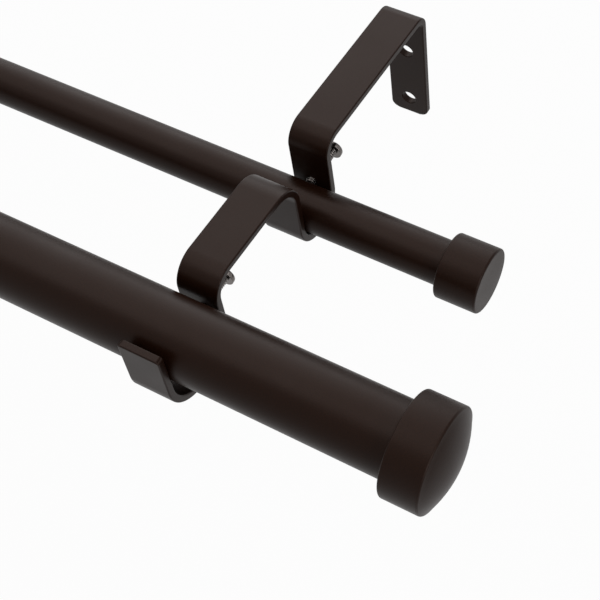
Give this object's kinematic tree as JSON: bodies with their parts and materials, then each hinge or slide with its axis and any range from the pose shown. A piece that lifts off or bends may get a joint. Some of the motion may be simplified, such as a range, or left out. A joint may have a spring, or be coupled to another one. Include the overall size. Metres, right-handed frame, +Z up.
{
  "type": "double curtain pole",
  "caption": "Double curtain pole: a thick and a slim capped telescopic pole, one before the other, clamped in hooked brackets bent from flat strip.",
  "frame": {"origin": "middle of the two wall-screw holes of the near bracket, on the back face of its plate", "axes": "+X along the poles, from the far bracket to the near one; +Y square into the wall; +Z up"},
  "size_m": [0.7112, 0.1697, 0.0721],
  "materials": {
    "bracket_finish": "satin powder coat",
    "pole_finish": "satin powder coat",
    "cap_finish": "satin powder coat",
    "screw_steel": "dark plated steel"
  },
  "bodies": {
    "mounted": {"near_bracket": "bracket_finish", "near_rear_screw": "screw_steel", "near_front_screw": "screw_steel", "far_bracket": "bracket_finish", "far_rear_screw": "screw_steel", "far_front_screw": "screw_steel", "front_outer_tube": "pole_finish", "front_near_cap": "cap_finish", "rear_outer_tube": "pole_finish", "rear_near_cap": "cap_finish"},
    "front_slider": {"front_inner_tube": "pole_finish", "front_far_cap": "cap_finish"},
    "rear_slider": {"rear_inner_tube": "pole_finish", "rear_far_cap": "cap_finish"}
  },
  "joints": [
    {"name": "front_pole_slide", "type": "slide", "parent": "mounted", "child": "front_slider", "axis": [-1, 0, 0], "range_m": [0, 0.508]},
    {"name": "rear_pole_slide", "type": "slide", "parent": "mounted", "child": "rear_slider", "axis": [-1, 0, 0], "range_m": [0, 0.508]}
  ]
}
